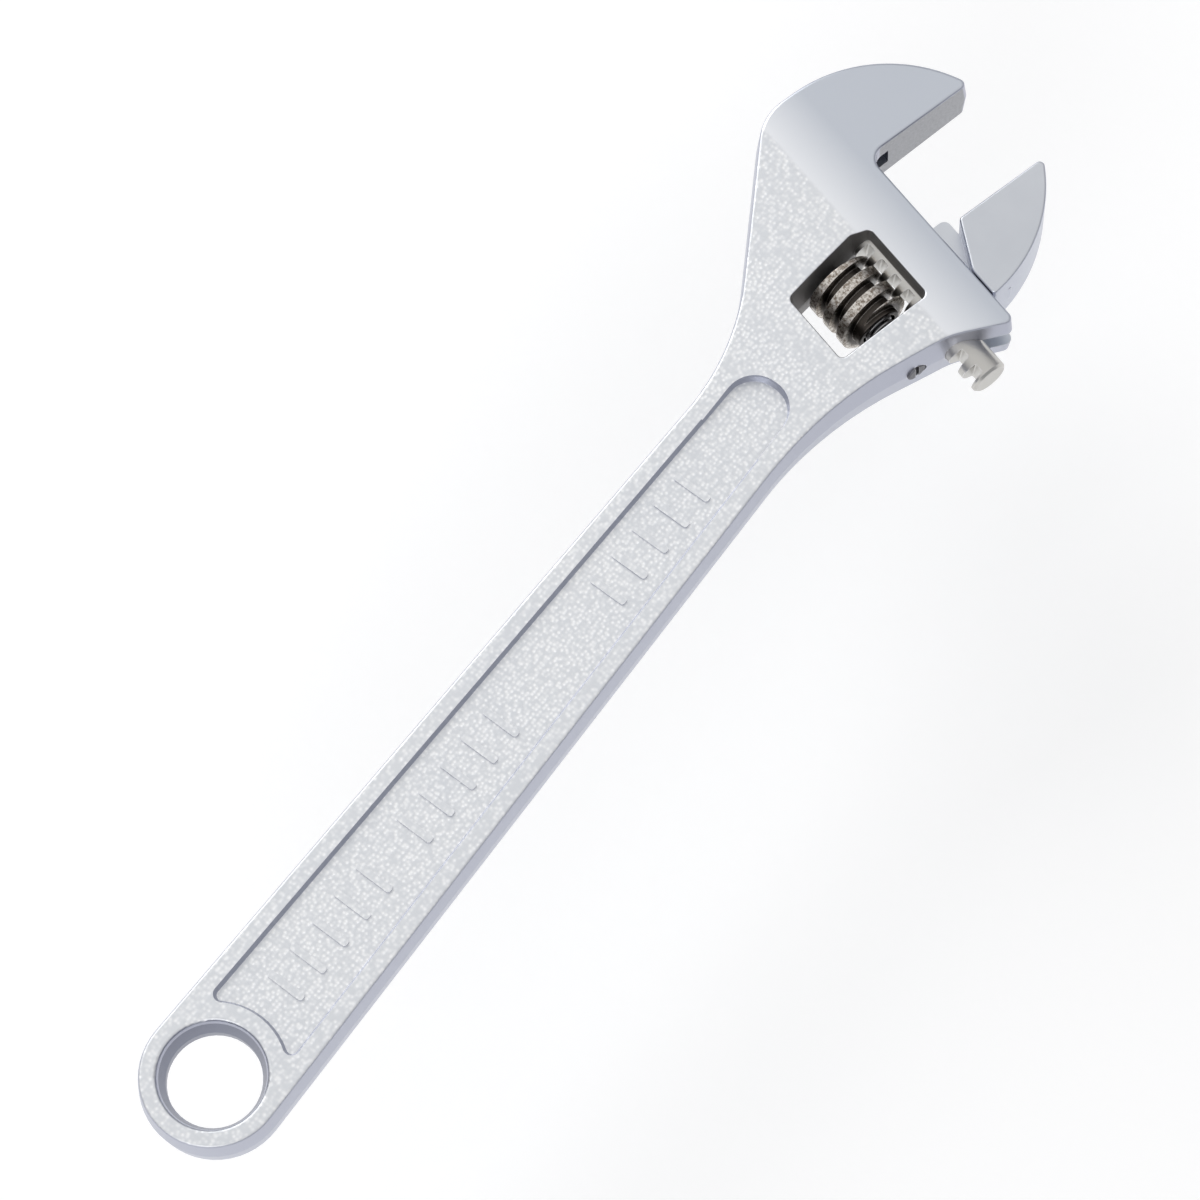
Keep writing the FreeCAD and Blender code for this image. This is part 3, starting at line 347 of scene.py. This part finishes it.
def oiled_worm_steel():
    material = new_material("turned_steel_browned_by_oil")
    coords = add(material, "ShaderNodeTexCoord")
    arm = add(material, "ShaderNodeVectorMath", {"operation": "SUBTRACT"},
              input0=(coords, "Object"), input1=worm_centre)
    across = add(material, "ShaderNodeVectorMath", {"operation": "CROSS_PRODUCT"},
                 input0=(arm, "Vector"), input1=slide)
    radius = add(material, "ShaderNodeVectorMath", {"operation": "LENGTH"},
                 input0=(across, "Vector"))
    crest_vs_groove_shade = add(material, "ShaderNodeMapRange", {"interpolation_type": "SMOOTHSTEP"},
                Value=(radius, "Value"), From_Min=GROOVE, From_Max=CREST)
    specks = add(material, "ShaderNodeTexNoise", None,
                 Vector=(coords, "Object"), Scale=1 / SPECK, Detail=4.0, Roughness=0.75)
    harder = add(material, "ShaderNodeMapRange", {"interpolation_type": "SMOOTHSTEP"},
                 Value=(specks, "Fac"), From_Min=0.38, From_Max=0.62)
    film = add(material, "ShaderNodeMix", {"data_type": "RGBA"}, input0=(harder, 0),
               input6=linear("84786C"), input7=linear("E6E1DA"))
    # Grooves get a dark brown-grey and crests the oil film: the dark grooves are painted shade of
    # the thread.
    colour = add(material, "ShaderNodeMix", {"data_type": "RGBA"}, input0=(crest_vs_groove_shade, 0),
                 input6=linear("4A4541"), input7=(film, 2))
    worn = edge_mask(material, EDGE, 0.4)
    rubbed = add(material, "ShaderNodeMix", {"data_type": "RGBA"}, input0=(worn, 0),
                 input6=(colour, 2), input7=linear("E6E2DC"))
    roughness = add(material, "ShaderNodeMapRange", None,
                    Value=(specks, "Fac"), To_Min=0.42, To_Max=0.20)
    relief = add(material, "ShaderNodeBump", None, Height=(specks, "Fac"), Strength=0.4,
                 Distance=DIMPLE_DEPTH)
    shader = add(material, "ShaderNodeBsdfPrincipled", None, Base_Color=(rubbed, 2),
                 Metallic=1.0, Roughness=(roughness, 0), Normal=(relief, 0))
    add(material, "ShaderNodeOutputMaterial", None, Surface=(shader, 0))
    return material


def plain_steel(name, dark, light, rough, grain):
    """Bare steel whose tone changes over a grain of that size."""
    material = new_material(name)
    coords = add(material, "ShaderNodeTexCoord")
    film = add(material, "ShaderNodeTexNoise", None,
               Vector=(coords, "Object"), Scale=1 / grain, Detail=4.0)
    colour = add(material, "ShaderNodeMix", {"data_type": "RGBA"}, input0=(film, "Fac"),
                 input6=linear(dark), input7=linear(light))
    worn = edge_mask(material, EDGE, 0.5)
    rubbed = add(material, "ShaderNodeMix", {"data_type": "RGBA"}, input0=(worn, 0),
                 input6=(colour, 2), input7=linear("DCDCDE"))
    roughness = add(material, "ShaderNodeMath", {"operation": "MULTIPLY_ADD"},
                    input0=(film, "Fac"), input1=0.2, input2=rough)
    relief = add(material, "ShaderNodeBump", None, Height=(film, "Fac"), Strength=0.3,
                 Distance=DIMPLE_DEPTH / 2)
    shader = add(material, "ShaderNodeBsdfPrincipled", None, Base_Color=(rubbed, 2),
                 Metallic=1.0, Roughness=(roughness, 0), Normal=(relief, 0))
    add(material, "ShaderNodeOutputMaterial", None, Surface=(shader, 0))
    return material


# %% Dress the pieces
finishes = {
    "forged_body": satin_chrome_forging(),
    "movable_jaw": satin_chrome_jaw(),
    "worm": oiled_worm_steel(),
    "worm_pin": plain_steel("blackened_pin_steel", "4B4B50", "8C8C92", 0.35, 1.2 * MM),
    "worm_spring": plain_steel("drawn_spring_wire", "8E8E90", "C8C8CA", 0.2, 0.5 * MM),
}
for name, finish in finishes.items():
    nodes[name].data.materials.clear()
    nodes[name].data.materials.append(finish)
    print(name, "->", finish.name)

# %% [markdown]
# ## Floor, sky and lamps
# Polished metal shows its surroundings more than its own colour. A light table, a sheet of
# white acrylic with a faint glow, lies a little below the wrench: it takes the shadow away,
# and light comes back up through the hole and the window.
# The sky is white overhead and darker at the horizon: faces look bright, and rounded
# edges, which mirror the horizon, get the thin dark line of a studio picture.

# %% White sheet
SHEET_DROP = 60 * MM
SHEET_HALF = 3.0
sheet_height = cad_box[0].z - SHEET_DROP
corners = [(-SHEET_HALF, -SHEET_HALF), (SHEET_HALF, -SHEET_HALF),
           (SHEET_HALF, SHEET_HALF), (-SHEET_HALF, SHEET_HALF)]
sheet_mesh = bpy.data.meshes.new("white_sheet")
sheet_mesh.from_pydata([(x, y, sheet_height) for x, y in corners], [], [(0, 1, 2, 3)])
sheet = bpy.data.objects.new("white_sheet", sheet_mesh)
bpy.context.scene.collection.objects.link(sheet)
acrylic = new_material("back_lit_white_acrylic")
acrylic_shader = add(acrylic, "ShaderNodeBsdfPrincipled", None,
                     Base_Color=linear("F8F8F8"), Roughness=0.9,
                     Emission_Color=linear("FFFFFF"), Emission_Strength=0.15)
add(acrylic, "ShaderNodeOutputMaterial", None, Surface=(acrylic_shader, 0))
sheet_mesh.materials.append(acrylic)

# %% Sky
world = bpy.data.worlds.new("studio")
bpy.context.scene.world = world
world.use_nodes = True
tree = world.node_tree
tree.nodes.clear()
sky_place = tree.nodes.new("ShaderNodeTexCoord")
sky_parts = tree.nodes.new("ShaderNodeSeparateXYZ")
sky_ramp = tree.nodes.new("ShaderNodeValToRGB")
sky_light = tree.nodes.new("ShaderNodeBackground")
sky_out = tree.nodes.new("ShaderNodeOutputWorld")
tree.links.new(sky_place.outputs["Generated"], sky_parts.inputs["Vector"])
tree.links.new(sky_parts.outputs["Z"], sky_ramp.inputs["Fac"])
tree.links.new(sky_ramp.outputs["Color"], sky_light.inputs["Color"])
tree.links.new(sky_light.outputs["Background"], sky_out.inputs["Surface"])
sky_ramp.color_ramp.elements[0].position = 0.0
sky_ramp.color_ramp.elements[0].color = linear("777A84")
sky_ramp.color_ramp.elements[1].position = 0.75
sky_ramp.color_ramp.elements[1].color = linear("FFFFFF")
sky_light.inputs["Strength"].default_value = 0.80

# %% Lamps
centre = (cad_box[0] + cad_box[1]) / 2


def soft_box(name, place, size, watts):
    """Square area lamp that points at the middle of the wrench."""
    lamp = bpy.data.lights.new(name, "AREA")
    lamp.size = size
    lamp.energy = watts
    holder = bpy.data.objects.new(name, lamp)
    bpy.context.scene.collection.objects.link(holder)
    holder.location = centre + Vector(place)
    holder.rotation_euler = (-Vector(place)).to_track_quat("-Z", "Y").to_euler()
    return holder


soft_box("key_box", (-1.3, 0.35, 0.75), 1.2, 9)
soft_box("fill_box", (0.4, -1.3, 0.8), 1.0, 5)
bpy.context.scene.view_settings.view_transform = "Standard"
print("sheet at", round(sheet_height / MM, 1), "mm")
